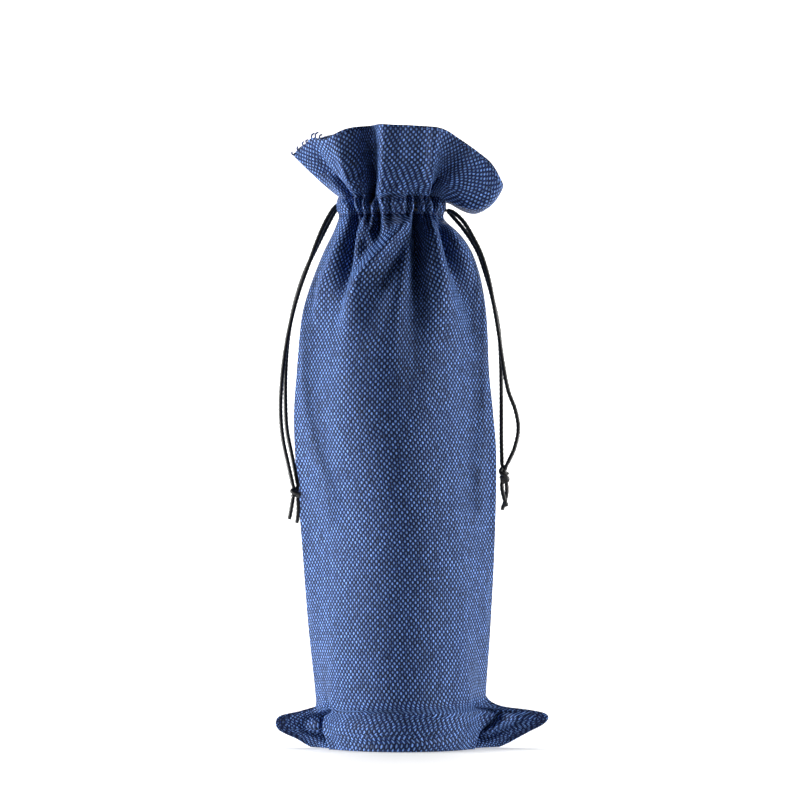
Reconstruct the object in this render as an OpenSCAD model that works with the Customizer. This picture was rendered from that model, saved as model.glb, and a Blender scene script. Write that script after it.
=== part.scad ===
// Drawstring wine gift bag, standing in the shape it takes around a 750 ml bottle.
// Origin: centre of the base, on the floor. +Z up, front towards -Y, right side +X.

/* [Body] */
// Width of the base, without the corner ears
base_w = 83; // [70:1:100]
// Width at the widest level
body_w = 101; // [85:1:125]
// Depth of the base, front to back
base_d = 77; // [64:1:92]
// Depth at the widest level
body_d = 82; // [68:1:98]
// Height of the widest level
wide_z = 165; // [120:5:200]
// Height at which the shoulder starts to draw in
shoulder_z = 182; // [140:1:220]
// Thickness of the cloth
cloth_t = 0.8; // [0.5:0.1:1.2]
// How far the neck leans to the left
lean = 3; // [0:0.5:6]

/* [Corner ears] */
// How far the left ear sticks out of the base
ear_left = 19; // [8:1:34]
// How far the right ear sticks out of the base
ear_right = 31; // [8:1:36]
// Height of the ears where they leave the body
ear_h = 24; // [16:1:34]

/* [Neck and ruffle] */
// Height of the cord channel's lower edge
casing_z = 258; // [230:1:300]
// Height of the cord channel
casing_h = 10; // [9:0.5:14]
// Width of the drawn neck
neck_w = 51; // [44:1:62]
// Depth of the drawn neck
neck_d = 40; // [38:1:50]
// Cut depth of the ruffle above the channel
ruffle_depth = 40; // [28:1:50]
// Flare of the ruffle at the front and back, from upright
flare_front = 22; // [10:1:40]
// Flare of the ruffle at the left side, from upright
flare_left = 42; // [20:1:60]
// Flare of the ruffle at the right side, where it droops further
flare_right = 64; // [20:1:70]

/* [Seams] */
// Width of the seam allowances inside
seam_w = 4; // [3:0.5:7]
// Length of one stitch
stitch_l = 2.6; // [2:0.1:3.5]
// Thickness of the sewing thread
thread_d = 0.4; // [0.3:0.05:0.5]

/* [Drawcords] */
// Diameter of the cords
cord_d = 2; // [1.5:0.1:2.4]
// Width of the slot that a pair of cords leaves by
exit_gap = 6; // [5:0.5:8]

/* [Hidden] */

cloth_blue = [0.13, 0.23, 0.45];
seam_blue = [0.10, 0.18, 0.36];
thread_blue = [0.08, 0.14, 0.30];
cord_black = [0.03, 0.03, 0.03];

steps = 24;           // angular steps of a half shell
half_gap = 0.35;      // from the side seam's plane to each half of the mouth
ply_gap = 0.2;        // between two plies of cloth that lie on each other
mouth_gap = 0.4;      // between the body's rim and the cord channel
channel = cord_d + 1.2;           // room for the cord between the plies
casing_top = casing_z + casing_h;
seam_hw = 1.5;        // half the width of the bottom seam's strip
ear_z = 10;           // height of an ear's tip
base_round = 1.5;     // rounding under the edge of the base

// Half width, half depth and roundness of the body at height z.
function draw_in(z) = z <= shoulder_z ? 0 : pow((z - shoulder_z) / (casing_z - shoulder_z), 2.3);
function grown(z) = min(1, z / wide_z);
function mix(a, b, s) = a + (b - a) * s;
function half_w(z) = mix(mix(base_w, body_w, grown(z)), neck_w, draw_in(z)) / 2;
function half_d(z) = mix(mix(base_d, body_d, grown(z)), neck_d, draw_in(z)) / 2;
function power(z) = 2 / (2.2 + 0.8 * max(0, 1 - z / 60));
function centre_x(z) = -lean * min(1, z / 150);
function ear(z, reach) = reach * max(0, 1 - pow((z - ear_z) / (ear_h - ear_z), 2) * (z > ear_z ? 1 : 0.5));
function spow(v, p) = sign(v) * pow(abs(v), p);

// A point of the outline at height z, turned by angle a, drawn in by the inset.
// side is -1 on the front and 1 on the back, and keep_off is the least distance to the seam's plane.
function outline(z, a, inset, side, keep_off) = [
    centre_x(z) + (half_w(z) - inset) * spow(cos(a), power(z))
        + (ear(z, ear_right) - inset * 0.5) * pow(max(0, cos(a)), 24)
        - (ear(z, ear_left) - inset * 0.5) * pow(max(0, -cos(a)), 24),
    side * max(keep_off, (half_d(z) - inset) * spow(sin(a), power(z))),
    z,
];

// Skins a solid between an outer and an inner grid of points, each a list of rows.
module shell(outer, inner) {
    rows = len(outer);
    cols = len(outer[0]);
    pts = concat([for (r = outer) for (p = r) p], [for (r = inner) for (p = r) p]);
    off = rows * cols;
    function at(i, j, s) = s * off + i * cols + j;
    faces = concat(
        [for (i = [0:rows - 2]) for (j = [0:cols - 2])
            for (f = [[at(i, j, 0), at(i, j + 1, 0), at(i + 1, j + 1, 0)],
                      [at(i, j, 0), at(i + 1, j + 1, 0), at(i + 1, j, 0)]]) f],
        [for (i = [0:rows - 2]) for (j = [0:cols - 2])
            for (f = [[at(i, j, 1), at(i + 1, j + 1, 1), at(i, j + 1, 1)],
                      [at(i, j, 1), at(i + 1, j, 1), at(i + 1, j + 1, 1)]]) f],
        [for (i = [0:rows - 2]) for (j = [0, cols - 1])
            let (q = [at(i, j, 0), at(i + 1, j, 0), at(i + 1, j, 1), at(i, j, 1)])
                j == 0 ? q : [q[3], q[2], q[1], q[0]]],
        [for (j = [0:cols - 2]) for (i = [0, rows - 1])
            let (q = [at(i, j, 0), at(i, j, 1), at(i, j + 1, 1), at(i, j + 1, 0)])
                i == 0 ? q : [q[3], q[2], q[1], q[0]]]);
    polyhedron(pts, faces, convexity = 6);
}

// A half of the body: half of the base, the wall with its half of both ears, and the shoulder.
module panel(side) {
    levels = concat([0.001, base_round],
                    [for (z = [4, 8, 12, 16, 20, 24, 34]) z * ear_h / 24],
                    [for (s = [0.35, 0.6, 0.85, 1]) mix(ear_h, wide_z, s)],
                    [for (s = [0:0.1:1]) mix(shoulder_z, casing_z - mouth_gap, s)]);
    function inset(z) = z < base_round ? base_round : 0;
    function wall(z, t) = [for (j = [0:steps])
        let (p = outline(z, 180 - j * 180 / steps, inset(z) + t, side, 0.02))
            [p[0], p[1], max(p[2], t) - (z < base_round ? 0.001 : 0)]];
    function seam_line(t) = [for (p = wall(0.001, t))
        [p[0], side * min(seam_hw, abs(p[1]) / 2), t]];
    outer = concat([seam_line(0)], [for (z = levels) wall(z, 0)]);
    inner = concat([seam_line(cloth_t)], [for (z = levels) wall(z, cloth_t)]);
    if (side < 0) shell(outer, inner);
    else shell(inner, outer);
}

// The two panels' bottom edges, sewn to each other: the joint's strip and the turned allowance on it.
module bottom_seam() {
    half = base_w / 2 + min(ear_left, ear_right) * 0.2;
    color(seam_blue) translate([-half, 0, 0]) rotate([90, 0, 90]) linear_extrude(2 * half)
        polygon([[-seam_hw, 0], [seam_hw, 0], [seam_hw, cloth_t + ply_gap],
                 [seam_w, cloth_t + ply_gap], [seam_w, 3 * cloth_t], [-seam_hw, 3 * cloth_t]]);
}

// The sewn edges of a side seam, inside the bag, from the ear to the cord channel.
module side_seam(dir) {
    levels = concat([3.2, 8, 12, 16, 20, 24, 34, 60, 110, 165],
                    [for (s = [0:0.125:1]) mix(shoulder_z, casing_z - mouth_gap, s)]);
    function edge(z) = outline(z, dir > 0 ? 0 : 180, 2 * cloth_t, 1, 0)[0];
    outer = [for (z = levels) [for (y = [-cloth_t, cloth_t]) [edge(z), y, z]]];
    inner = [for (z = levels) [for (y = [-cloth_t, cloth_t]) [edge(z) - dir * seam_w, y, z]]];
    color(seam_blue)
        if (dir < 0) shell([for (r = outer) [r[1], r[0]]], [for (r = inner) [r[1], r[0]]]);
        else shell(outer, inner);
}

// A point of the neck's cloth, at an inset from the outside and a height above the channel's lower edge.
function neck(a, inset, side, keep_off) = [
    centre_x(casing_z) + (neck_w / 2 - inset) * spow(cos(a), power(casing_z)),
    side * max(keep_off, (neck_d / 2 - inset) * spow(sin(a), power(casing_z))),
];
slot_a = asin(pow(exit_gap / neck_d, 1 / power(casing_z)));

// A half of a ply of the neck, from angle first to 180 - first, with its bulge where the cord runs.
module neck_ply(side, inset, first) {
    levels = [0, 0.5, 1];
    function ring(t, extra) = [for (j = [0:steps])
        let (p = neck(180 - first - j * (180 - 2 * first) / steps, inset + extra, side, half_gap))
            [p[0], p[1], casing_z + t * casing_h]];
    outer = [for (t = levels) ring(t, 0)];
    inner = [for (t = levels) ring(t, cloth_t)];
    if (side < 0) shell(outer, inner);
    else shell(inner, outer);
}

// A point of the ruffle: up from the channel and outwards at the flare of that angle.
function flare(a) = mix(flare_front, cos(a) > 0 ? flare_right : flare_left, pow(abs(cos(a)), 3))
    + 5 * sin(a) * cos(6 * a);
function ruffled(a, up, inset, side) =
    let (p = neck(a, inset, side, half_gap), f = flare(a))
        [p[0] + up * sin(f) * cos(a), p[1] + side * up * sin(f) * sin(a), casing_top + up * cos(f)];

module ruffle_ply(side, inset, top) {
    function ring(t, extra) = [for (j = [0:steps * 1.5])
        ruffled(180 - j * 180 / (steps * 1.5), top * t, inset + extra, side)];
    levels = [0, 0.25, 0.5, 0.75, 1];
    outer = [for (t = levels) ring(t, 0)];
    inner = [for (t = levels) ring(t, cloth_t)];
    if (side < 0) shell(outer, inner);
    else shell(inner, outer);
}

// The inner ply of the mouth: the cloth turned in at the top and sewn down over the channel.
module facing(side) {
    color(seam_blue) {
        neck_ply(side, cloth_t + channel, slot_a);
        ruffle_ply(side, cloth_t + ply_gap, ruffle_depth - cloth_t);
    }
}

// A row of stitches round half of the neck.
module stitching(side, z) {
    count = floor((neck_w + neck_d) * 0.72 / stitch_l);
    color(thread_blue) for (i = [1:count]) {
        a = slot_a + (180 - 2 * slot_a) * (i - 0.5) / count;
        d = 2;
        p = neck(a, -thread_d, side, 0);
        q = neck(a + d, -thread_d, side, 0);
        translate([p[0], p[1], z]) rotate([0, 0, atan2(q[1] - p[1], q[0] - p[0])])
            cube([stitch_l * 0.7, thread_d, thread_d], center = true);
    }
}

// A tube of 8 sides swept along points.
module tube(points, d) {
    n = len(points);
    sides = 8;
    function unit(v) = v / norm(v);
    function along(i) = unit(points[min(i + 1, n - 1)] - points[max(i - 1, 0)]);
    function across(i) = let (t = along(i), r = abs(t[2]) > 0.9 ? [0, 1, 0] : [0, 0, 1])
        unit(cross(t, r));
    pts = [for (i = [0:n - 1]) for (k = [0:sides - 1])
        let (u = across_kept(i), v = cross(along(i), u), a = k * 360 / sides)
            points[i] + d / 2 * (u * cos(a) + v * sin(a))];
    function across_kept(i) = i == 0 ? across(0)
        : let (u = across_kept(i - 1), t = along(i)) unit(u - t * (u * t));
    faces = concat(
        [[for (k = [0:sides - 1]) k]],
        [[for (k = [sides - 1:-1:0]) (n - 1) * sides + k]],
        [for (i = [0:n - 2]) for (k = [0:sides - 1])
            for (f = [[i * sides + k, (i + 1) * sides + k, i * sides + (k + 1) % sides],
                      [i * sides + (k + 1) % sides, (i + 1) * sides + k,
                       (i + 1) * sides + (k + 1) % sides]]) f]);
    polyhedron(pts, faces, convexity = 6);
}

// The cords' heights in the channel, one above the other.
left_cord_z = casing_z + casing_h / 2 + 1.5;
right_cord_z = casing_z + casing_h / 2 - 1.5;

// The part of a cord loop that lies in the channel. It reaches out of the slot on its own side.
cord_spread = 1.6;    // from the seam's plane to each cord of the pair in a slot
cord_inset = 0.7;     // from the side of the neck to the end of a run, where its free strand takes over
module cord_run(side, z, dir) {
    cols = 18;
    arc = [for (j = [0:cols])
        let (a = 90 + dir * (90 - j * 180 / cols),
             p = neck(a, cloth_t + channel * 0.6, side, 0)) [p[0], p[1], z]];
    exit_x = centre_x(casing_z) + dir * (neck_w / 2 - cord_inset);
    turn = [arc[0][0], side * (cord_d / 2 + half_gap), z];
    color(cord_black) tube(concat([turn], [for (j = [1:cols - 1]) arc[j]],
        [[exit_x - dir * 2, side * cord_spread, z], [exit_x, side * cord_spread, z]]), cord_d);
}

// Routes of the free strands, from the slot to the knot.
left_front_route = [
    [-29, -1.6, 264.5], [-32, -2.4, 262.5], [-36, -3.6, 256], [-40, -5, 247], [-44, -6, 236],
    [-49, -7.4, 222], [-53, -9, 207], [-55.8, -10.8, 192], [-57.4, -12.8, 177], [-57.8, -15, 163],
    [-56.6, -17.8, 150], [-54, -21, 138], [-51.6, -23.6, 127.6],
];
left_back_route = [
    [-29, 1.6, 264.5], [-31.6, 1.4, 261], [-35.6, 0.4, 253.5], [-41, -1, 242.5], [-46.8, -2, 230],
    [-51.4, -3.4, 215], [-54.2, -5, 200], [-55.4, -7.2, 185], [-55.6, -9.8, 170], [-54.8, -13, 155],
    [-52, -17.6, 141], [-49.2, -22.4, 127.6],
];
right_front_route = [
    [23, -1.6, 261.5], [26.5, -2.6, 260], [31, -4, 255.6], [35, -5, 249], [39.4, -6.4, 240],
    [42.8, -7.6, 229], [45.4, -8.6, 216], [47.8, -9, 202], [49.8, -9.2, 188], [52.4, -9.6, 174],
    [56, -10, 164], [57.4, -10.4, 155], [55.6, -11.6, 146], [51.8, -13.2, 137.6],
];
right_back_route = [
    [23, 1.6, 261.5], [26.4, 1.4, 257.6], [31.4, 0.4, 251.6], [37.4, -1, 242], [41.4, -2.4, 231],
    [44.8, -3.4, 219], [47.8, -4, 205], [48.9, -5, 190], [49.2, -6.2, 176], [49.2, -7.8, 162],
    [49.2, -9.8, 149], [49.4, -12, 137.6],
];
left_knot = [-50.4, -23.2, 124.2];
right_knot = [50.4, -12.6, 132.6];

// An overhand knot of both strands: wraps about a core.
module knot(at, height, turns) {
    wrap = cord_d * 0.55;
    color(cord_black) translate(at) {
        cylinder(h = height, r = wrap, center = true, $fn = 32);
        for (i = [0:turns - 1])
            translate([0, 0, (i - (turns - 1) / 2) * cord_d * 0.9])
                rotate_extrude($fn = 32) translate([wrap, 0]) circle(d = cord_d * 1.1, $fn = 24);
    }
}

module front_panel() { color(cloth_blue) panel(-1); }
module back_panel() { color(cloth_blue) panel(1); }
module left_side_seam() { side_seam(-1); }
module right_side_seam() { side_seam(1); }
module front_casing() { color(cloth_blue) neck_ply(-1, 0, slot_a); }
module back_casing() { color(cloth_blue) neck_ply(1, 0, slot_a); }
module front_facing() { facing(-1); }
module back_facing() { facing(1); }
module front_ruffle() { color(cloth_blue) ruffle_ply(-1, 0, ruffle_depth); }
module back_ruffle() { color(cloth_blue) ruffle_ply(1, 0, ruffle_depth); }
module front_lower_stitching() { stitching(-1, casing_z + 1); }
module back_lower_stitching() { stitching(1, casing_z + 1); }
module front_upper_stitching() { stitching(-1, casing_top - 1); }
module back_upper_stitching() { stitching(1, casing_top - 1); }
module left_cord_front_run() { cord_run(-1, left_cord_z, -1); }
module left_cord_back_run() { cord_run(1, left_cord_z, -1); }
module right_cord_front_run() { cord_run(-1, right_cord_z, 1); }
module right_cord_back_run() { cord_run(1, right_cord_z, 1); }
module left_cord_front_strand() { color(cord_black) tube(left_front_route, cord_d); }
module left_cord_back_strand() { color(cord_black) tube(left_back_route, cord_d); }
module right_cord_front_strand() { color(cord_black) tube(right_front_route, cord_d); }
module right_cord_back_strand() { color(cord_black) tube(right_back_route, cord_d); }
module left_cord_knot() { knot(left_knot, 5.4, 2); }
module right_cord_knot() { knot(right_knot, 8.8, 3); }
module left_cord_front_tail() {
    color(cord_black) tube([left_knot + [-1.1, -0.6, -3.1], left_knot + [-2, -1, -6.5],
                            left_knot + [-3, -1.2, -12.5]], cord_d);
}
module left_cord_back_tail() {
    color(cord_black) tube([left_knot + [1.1, 0.6, -3.1], left_knot + [1.2, 0.8, -8],
                            left_knot + [0.6, 1, -14.5]], cord_d);
}
module right_cord_front_tail() {
    color(cord_black) tube([right_knot + [-1.1, -0.4, -4.8], right_knot + [-0.4, -1.4, -9],
                            right_knot + [1.4, -1.6, -15]], cord_d);
}
module right_cord_back_tail() {
    color(cord_black) tube([right_knot + [1.2, 0.6, -4.8], right_knot + [1.2, 1.2, -10],
                            right_knot + [-1, 1.4, -17]], cord_d);
}

// Ends of thread that hang off the ruffle's left edge.
module loose_threads() {
    foot = ruffled(180, ruffle_depth, 0, -1);
    color(thread_blue) {
        tube([foot + [0.6, -0.4, 0.3], foot + [-1, -0.8, 2.4], foot + [-0.2, -1, 4.6]], thread_d);
        tube([foot + [3, -0.6, 2.2], foot + [2, -1.2, 5], foot + [4, -1, 7]], thread_d);
    }
}

front_panel();
back_panel();
bottom_seam();
left_side_seam();
right_side_seam();
front_casing();
back_casing();
front_facing();
back_facing();
front_ruffle();
back_ruffle();
front_lower_stitching();
back_lower_stitching();
front_upper_stitching();
back_upper_stitching();
left_cord_front_run();
left_cord_back_run();
right_cord_front_run();
right_cord_back_run();
left_cord_front_strand();
left_cord_back_strand();
left_cord_knot();
left_cord_front_tail();
left_cord_back_tail();
right_cord_front_strand();
right_cord_back_strand();
right_cord_knot();
right_cord_front_tail();
right_cord_back_tail();
loose_threads();
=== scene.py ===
import math

import bmesh
import bpy
import numpy as np
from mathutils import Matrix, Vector


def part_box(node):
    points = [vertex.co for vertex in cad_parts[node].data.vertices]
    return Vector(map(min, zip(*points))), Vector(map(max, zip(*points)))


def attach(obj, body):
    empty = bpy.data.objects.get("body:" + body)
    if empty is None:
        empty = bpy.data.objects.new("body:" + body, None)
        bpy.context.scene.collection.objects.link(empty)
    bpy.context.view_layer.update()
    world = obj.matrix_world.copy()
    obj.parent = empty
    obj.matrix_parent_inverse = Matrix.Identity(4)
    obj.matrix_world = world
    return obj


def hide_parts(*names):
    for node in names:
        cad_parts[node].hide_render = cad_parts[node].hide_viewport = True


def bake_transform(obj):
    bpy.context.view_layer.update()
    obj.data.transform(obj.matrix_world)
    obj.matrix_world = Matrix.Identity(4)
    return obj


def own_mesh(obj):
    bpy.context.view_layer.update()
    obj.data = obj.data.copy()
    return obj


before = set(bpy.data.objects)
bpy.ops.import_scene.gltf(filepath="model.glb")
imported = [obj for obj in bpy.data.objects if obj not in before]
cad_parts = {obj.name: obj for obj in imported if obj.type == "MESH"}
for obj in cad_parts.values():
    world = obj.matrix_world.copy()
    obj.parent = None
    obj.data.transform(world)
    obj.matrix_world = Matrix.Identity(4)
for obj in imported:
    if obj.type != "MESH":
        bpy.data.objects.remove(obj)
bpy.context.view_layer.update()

# ---------------------------------------------------------------------------------------------------
# Camera: straight on, at about half the bag's height, and far off with a long lens, as a small product
# is shot on a sweep.
# ---------------------------------------------------------------------------------------------------
camera_data = bpy.data.cameras.new("camera")
camera = bpy.data.objects.new("camera", camera_data)
bpy.context.scene.collection.objects.link(camera)
bpy.context.scene.camera = camera
camera_data.sensor_width = 36
camera_data.lens = 231
camera_distance = 2.5
camera_height = 0.1690
camera.location = (0, -camera_distance, camera_height)
camera.rotation_euler = (math.radians(90), 0, 0)
camera_data.clip_start = 0.01
camera_data.clip_end = 20

# ---------------------------------------------------------------------------------------------------
# Drawcords: two waxed cotton cords of 2 mm, each threaded through the channel and tied to itself, so
# that a pair of strands hangs at each side. Three plies twisted together give the rope's ridges.
# ---------------------------------------------------------------------------------------------------
MM = 0.001
cord_d = 0.002
cord_sides = 15
twist_pitch = 0.0065
rope_step = 0.0007


def smooth_line(points, step):
    """A Catmull-Rom line through the points, with a point about every step."""
    p = np.array(points, float)
    p = np.vstack([2 * p[0] - p[1], p, 2 * p[-1] - p[-2]])
    line = []
    for i in range(1, len(p) - 2):
        a, b, c, d = p[i - 1:i + 3]
        count = max(2, math.ceil(np.linalg.norm(c - b) / step))
        for k in range(count):
            t = k / count
            line.append(0.5 * (2 * b + (c - a) * t + (2 * a - 5 * b + 4 * c - d) * t * t
                               + (3 * b - a - 3 * c + d) * t ** 3))
    line.append(p[-2])
    return np.array(line)


def lengths_along(line):
    """The length of a line up to each of its points."""
    return np.concatenate([[0], np.cumsum(np.linalg.norm(np.diff(line, axis=0), axis=1))])


def into_scene(name, bm):
    """A finished bmesh as an object of the scene."""
    mesh = bpy.data.meshes.new(name)
    bm.to_mesh(mesh)
    bm.free()
    piece = bpy.data.objects.new(name, mesh)
    bpy.context.scene.collection.objects.link(piece)
    return piece


def rope(name, line, diameter, sides=cord_sides, plies=3, ridge=0.09, pitch=twist_pitch):
    """A twisted cord along a line: one circle, extruded ring by ring, with closed ends."""
    bm = bmesh.new()
    made = bmesh.ops.create_circle(bm, segments=sides, radius=diameter / 2)
    ring = sorted(made["verts"], key=lambda v: math.atan2(v.co.y, v.co.x))
    along = np.gradient(line, axis=0)
    along /= np.linalg.norm(along, axis=1)[:, None]
    length = lengths_along(line)
    across = np.cross(along[0], (0, 1, 0) if abs(along[0][2]) > 0.5 else (0, 0, 1))
    uv = bm.loops.layers.uv.new("UVMap")
    rings = []
    edges = list({e for v in ring for e in v.link_edges})
    for i, centre in enumerate(line):
        if i:
            up = bmesh.ops.extrude_edge_only(bm, edges=edges)["geom"]
            edges = [g for g in up if isinstance(g, bmesh.types.BMEdge)]
            fresh = {v for e in edges for v in e.verts}
            ring = [next(e.other_vert(v) for e in v.link_edges if e.other_vert(v) in fresh) for v in ring]
        across = across - along[i] * np.dot(across, along[i])
        across /= np.linalg.norm(across)
        side = np.cross(along[i], across)
        end = min(i, len(line) - 1 - i)
        taper = 1 if end > 1 else 0.8 + 0.1 * end
        for k, v in enumerate(ring):
            a = 2 * math.pi * k / sides
            twist = 2 * math.pi * length[i] / pitch
            r = diameter / 2 * taper * (1 + ridge * math.cos(plies * (a - twist)))
            v.co = Vector(centre + r * (across * math.cos(a) + side * math.sin(a)))
        rings.append(ring)
    place = {v: (i, k) for i, r in enumerate(rings) for k, v in enumerate(r)}
    for face in bm.faces:
        ks = [place[loop.vert][1] for loop in face.loops]
        wraps = max(ks) - min(ks) > 1
        for loop in face.loops:
            i, k = place[loop.vert]
            loop[uv].uv = (length[i], (k + sides * (wraps and k == 0)) / sides)
    for r in (rings[0], rings[-1]):
        bmesh.ops.contextual_create(bm, geom=r)
    bmesh.ops.recalc_face_normals(bm, faces=bm.faces[:])
    for face in bm.faces:
        face.smooth = len(face.verts) == 4
    return into_scene(name, bm)


def shader(name):
    """A new material, with its node tree and its Principled node."""
    material = bpy.data.materials.new(name)
    material.use_nodes = True
    return material, material.node_tree, material.node_tree.nodes["Principled BSDF"]


cord_black, tree, surface = shader("waxed_black_cord")
surface.inputs["Roughness"].default_value = 0.42
surface.inputs["Sheen Weight"].default_value = 0.15
surface.inputs["Sheen Roughness"].default_value = 0.4
place = tree.nodes.new("ShaderNodeUVMap")
place.uv_map = "UVMap"
stretch = tree.nodes.new("ShaderNodeMapping")
stretch.inputs["Scale"].default_value = (900, 9, 1)
stretch.inputs["Rotation"].default_value = (0, 0, 0.25)
fibres = tree.nodes.new("ShaderNodeTexNoise")
fibres.inputs["Scale"].default_value = 1
fibres.inputs["Detail"].default_value = 3
tint = tree.nodes.new("ShaderNodeValToRGB")
tint.color_ramp.elements[0].position = 0.35
tint.color_ramp.elements[0].color = (0.0035, 0.0035, 0.004, 1)
tint.color_ramp.elements[1].position = 0.75
tint.color_ramp.elements[1].color = (0.016, 0.016, 0.018, 1)
bump = tree.nodes.new("ShaderNodeBump")
bump.inputs["Strength"].default_value = 0.5
bump.inputs["Distance"].default_value = 0.0002
tree.links.new(place.outputs["UV"], stretch.inputs["Vector"])
tree.links.new(stretch.outputs["Vector"], fibres.inputs["Vector"])
tree.links.new(fibres.outputs["Fac"], tint.inputs["Fac"])
tree.links.new(tint.outputs["Color"], surface.inputs["Base Color"])
tree.links.new(fibres.outputs["Fac"], bump.inputs["Height"])
tree.links.new(bump.outputs["Normal"], surface.inputs["Normal"])

# Each strand's way from its slot in the channel down to the knot, in millimetres.
strand_routes = {
    "left_cord_front_strand": [
        (-29, -1.6, 264.5), (-32, -2.4, 262.5), (-36, -3.6, 256), (-40, -5, 247), (-44, -6, 236),
        (-49, -7.4, 222), (-53, -9, 207), (-55.8, -10.8, 192), (-57.4, -12.8, 177), (-57.8, -15, 163),
        (-56.6, -17.8, 150), (-54, -21, 138), (-51.6, -23.6, 127.6)],
    "left_cord_back_strand": [
        (-29, 1.6, 264.5), (-31.6, 1.4, 261), (-35.6, 0.4, 253.5), (-41, -1, 242.5), (-46.8, -2, 230),
        (-51.4, -3.4, 215), (-54.2, -5, 200), (-55.4, -7.2, 185), (-55.6, -9.8, 170), (-54.8, -13, 155),
        (-52, -17.6, 141), (-49.2, -22.4, 127.6)],
    "right_cord_front_strand": [
        (23, -1.6, 261.5), (26.5, -2.6, 260), (31, -4, 255.6), (35, -5, 249), (39.4, -6.4, 240),
        (42.8, -7.6, 229), (45.4, -8.6, 216), (47.8, -9, 202), (49.8, -9.2, 188), (52.4, -9.6, 174),
        (56, -10, 164), (57.4, -10.4, 155), (55.6, -11.6, 146), (51.8, -13.2, 137.6)],
    "right_cord_back_strand": [
        (23, 1.6, 261.5), (26.4, 1.4, 257.6), (31.4, 0.4, 251.6), (37.4, -1, 242), (41.4, -2.4, 231),
        (44.8, -3.4, 219), (47.8, -4, 205), (48.9, -5, 190), (49.2, -6.2, 176), (49.2, -7.8, 162),
        (49.2, -9.8, 149), (49.4, -12, 137.6)],
}
strands, strand_lines = {}, {}
for name, route in strand_routes.items():
    strand_lines[name] = smooth_line(np.array(route) * MM, rope_step)
    strands[name] = rope(name + "_rope", strand_lines[name], cord_d)
    strands[name].data.materials.append(cord_black)

# ---------------------------------------------------------------------------------------------------
# Knots and tails: each pair of strands is tied in one overhand knot, and its two cut ends hang out
# below. A knot is about two wraps round the pair, and a crossing turn over them.
# ---------------------------------------------------------------------------------------------------
# Where each knot sits, how tall it is, and how often it wraps round the pair.
knot_sizes = {"left": (np.array((-50.4, -23.2, 124.2)) * MM, 5.4 * MM, 1.6),
              "right": (np.array((50.4, -12.6, 132.6)) * MM, 8.8 * MM, 2.3)}
wrap_points = 40
# The crossing turn: x and y in millimetres, and height as a share of the knot's reach.
crossing_turn = [(-1, -0.8, 1), (-1.7, -1.9, 0.4), (0.2, -2.2, 0), (1.7, -1.6, -0.5), (1.1, -0.5, -1)]
# Each tail's way from its knot's centre to its cut end, in millimetres.
tail_routes = {
    "left_cord_front_tail": [(-1.1, -0.6, -2.2), (-1.6, -0.9, -5), (-2.2, -1, -8.5), (-3, -1.2, -12.8)],
    "left_cord_back_tail": [(1.1, 0.6, -2.2), (1.3, 0.8, -6), (1.2, 0.9, -10), (0.6, 1, -14.6)],
    "right_cord_front_tail": [(-1.1, -0.4, -3.6), (-0.9, -1, -7), (0, -1.5, -11), (1.4, -1.6, -15.2)],
    "right_cord_back_tail": [(1.2, 0.6, -3.6), (1.4, 1, -8), (0.6, 1.4, -12.5), (-1, 1.4, -17)],
}


def joined(name, parts):
    """Several ropes made one piece."""
    bm = bmesh.new()
    for part in parts:
        bm.from_mesh(part.data)
        bpy.data.meshes.remove(part.data)
    return into_scene(name, bm)


knots, tails = {}, {}
for side_name, (centre, height, turns) in knot_sizes.items():
    node = side_name + "_cord_knot"
    reach = height / 2 - 0.45 * cord_d
    count = int(wrap_points * turns)
    wrap = []
    for i in range(count):
        t = i / (count - 1)
        a = 2 * math.pi * turns * t + 0.6
        r = cord_d * (0.62 + 0.16 * math.sin(3.1 * a))
        rise = reach * (1 - 2 * t) + 0.0004 * math.sin(2 * a)
        wrap.append(centre + (r * math.cos(a), r * math.sin(a), rise))
    cross = smooth_line(centre + np.array(crossing_turn) * (MM, MM, reach), rope_step)
    parts = [rope(node + "_wrap", np.array(wrap), cord_d), rope(node + "_cross", cross, cord_d)]
    for which, aside in (("front", -0.5), ("back", 0.5)):
        top = strand_lines[side_name + "_cord_" + which + "_strand"][-1] + (0, 0, 0.0004)
        middle = centre + np.array((aside, aside, 0)) * MM
        foot = centre + np.array(tail_routes[side_name + "_cord_" + which + "_tail"][0]) * MM
        parts.append(rope(node + "_core", smooth_line([top, middle, foot], rope_step), cord_d))
    knots[side_name] = joined(node + "_turns", parts)
    knots[side_name].data.materials.append(cord_black)
    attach(knots[side_name], side_name + "_cord_end")
    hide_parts(node)
for name, route in tail_routes.items():
    side_name = name.split("_")[0]
    line = smooth_line(knot_sizes[side_name][0] + np.array(route) * MM, rope_step)
    tails[name] = rope(name + "_rope", line, cord_d)
    tails[name].data.materials.append(cord_black)
    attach(tails[name], side_name + "_cord_end")
    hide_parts(name)

# Each strand goes with its side's cord, on its own copy of the mesh.
for name, piece in strands.items():
    side_name = name.split("_")[0]
    line = strand_lines[name]
    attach(piece, side_name + "_cord")
    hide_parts(name)
    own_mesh(piece)

# ---------------------------------------------------------------------------------------------------
# Cloth of the body: two panels of imitation linen, 150 mm wide a side, sewn at the sides and the
# bottom. Filled, they take the round of the bottle, and the spare cloth stands off at the flanks,
# in the two corner ears and in the folds that the drawn neck throws down the shoulder.
# ---------------------------------------------------------------------------------------------------
cloth_t = 0.0007
flat_w = 0.150
yarn = 0.00142
grain = math.radians(3.2)
halves = ((-1, "front"), (1, "back"))
neck_low, neck_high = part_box("front_casing")
casing_z, casing_top = neck_low.z, neck_high.z

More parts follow.
